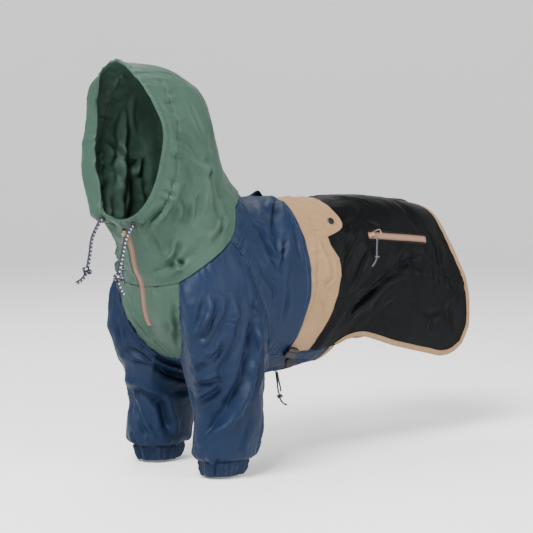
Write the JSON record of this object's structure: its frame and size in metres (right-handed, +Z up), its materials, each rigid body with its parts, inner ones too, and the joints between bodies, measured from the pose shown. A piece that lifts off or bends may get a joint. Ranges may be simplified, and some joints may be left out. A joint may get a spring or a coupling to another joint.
{
  "type": "hooded dog jacket",
  "caption": "Hooded rain jacket for a dog with raglan sleeves, gathered cuffs, colour-blocked back, waist and rump panels, throat zip, side pocket zip and belly strap.",
  "frame": {"origin": "withers, on the inside of the back, where the jacket rests on the dog", "axes": "+Z up, -Y the way the dog faces, +X the dog's left side"},
  "size_m": [0.2328, 0.6661, 0.5663],
  "materials": {
    "green_nylon": "coated nylon, soft satin",
    "blue_nylon": "coated nylon, soft satin",
    "tan_nylon": "coated nylon, soft satin",
    "black_nylon": "coated nylon, soft satin",
    "binding_tape": "woven tape",
    "webbing": "woven webbing",
    "zip_tape": "laminated zip tape, satin",
    "zip_slider": "painted, satin",
    "pull_wire": "plated wire",
    "black_plastic": "moulded, satin",
    "braided_cord": "braided cord, navy and white",
    "elastic_cord": "braided elastic"
  },
  "bodies": {
    "jacket": {"hood_left": "green_nylon", "hood_right": "green_nylon", "hood_center": "green_nylon", "bib": "green_nylon", "back_panel": "blue_nylon", "belly_panel": "blue_nylon", "sleeve_left": "blue_nylon", "sleeve_right": "blue_nylon", "cuff_left": "blue_nylon", "cuff_right": "blue_nylon", "waist_panel": "tan_nylon", "rump_panel": "black_nylon", "hem_binding": "binding_tape", "back_loop": "webbing", "strap": "webbing", "neck_zip_tape": "zip_tape", "pocket_zip_tape": "zip_tape", "neck_zip_slider": "zip_slider", "pocket_zip_slider": "zip_slider", "snap_left": "black_plastic", "snap_right": "black_plastic", "buckle_socket": "black_plastic", "buckle_plug": "black_plastic", "eyelet_left": "black_plastic", "eyelet_right": "black_plastic", "belly_eyelet": "black_plastic", "drawcord_left": "braided_cord", "drawcord_right": "braided_cord", "drawcord_left_knot": "braided_cord", "drawcord_right_knot": "braided_cord", "pocket_zip_cord": "braided_cord", "pocket_zip_knot": "braided_cord", "belly_cord_front": "elastic_cord", "belly_cord_rear": "elastic_cord", "belly_knot": "elastic_cord"},
    "neck_pull": {"neck_zip_ring": "pull_wire", "neck_zip_cord": "braided_cord", "neck_zip_knot": "braided_cord"},
    "pocket_pull": {"pocket_zip_ring": "pull_wire"}
  },
  "joints": [
    {"name": "neck_pull_swing", "type": "hinge", "parent": "jacket", "child": "neck_pull", "pos_m": [0, -0.21845, -0.04099], "axis": [1, 0, 0], "range_deg": [-110, 8]},
    {"name": "pocket_pull_swing", "type": "hinge", "parent": "jacket", "child": "pocket_pull", "pos_m": [0.09004, 0.17364, -0.05316], "axis": [-0.3931, -0.035, 0.9188], "range_deg": [-105, 45]}
  ]
}
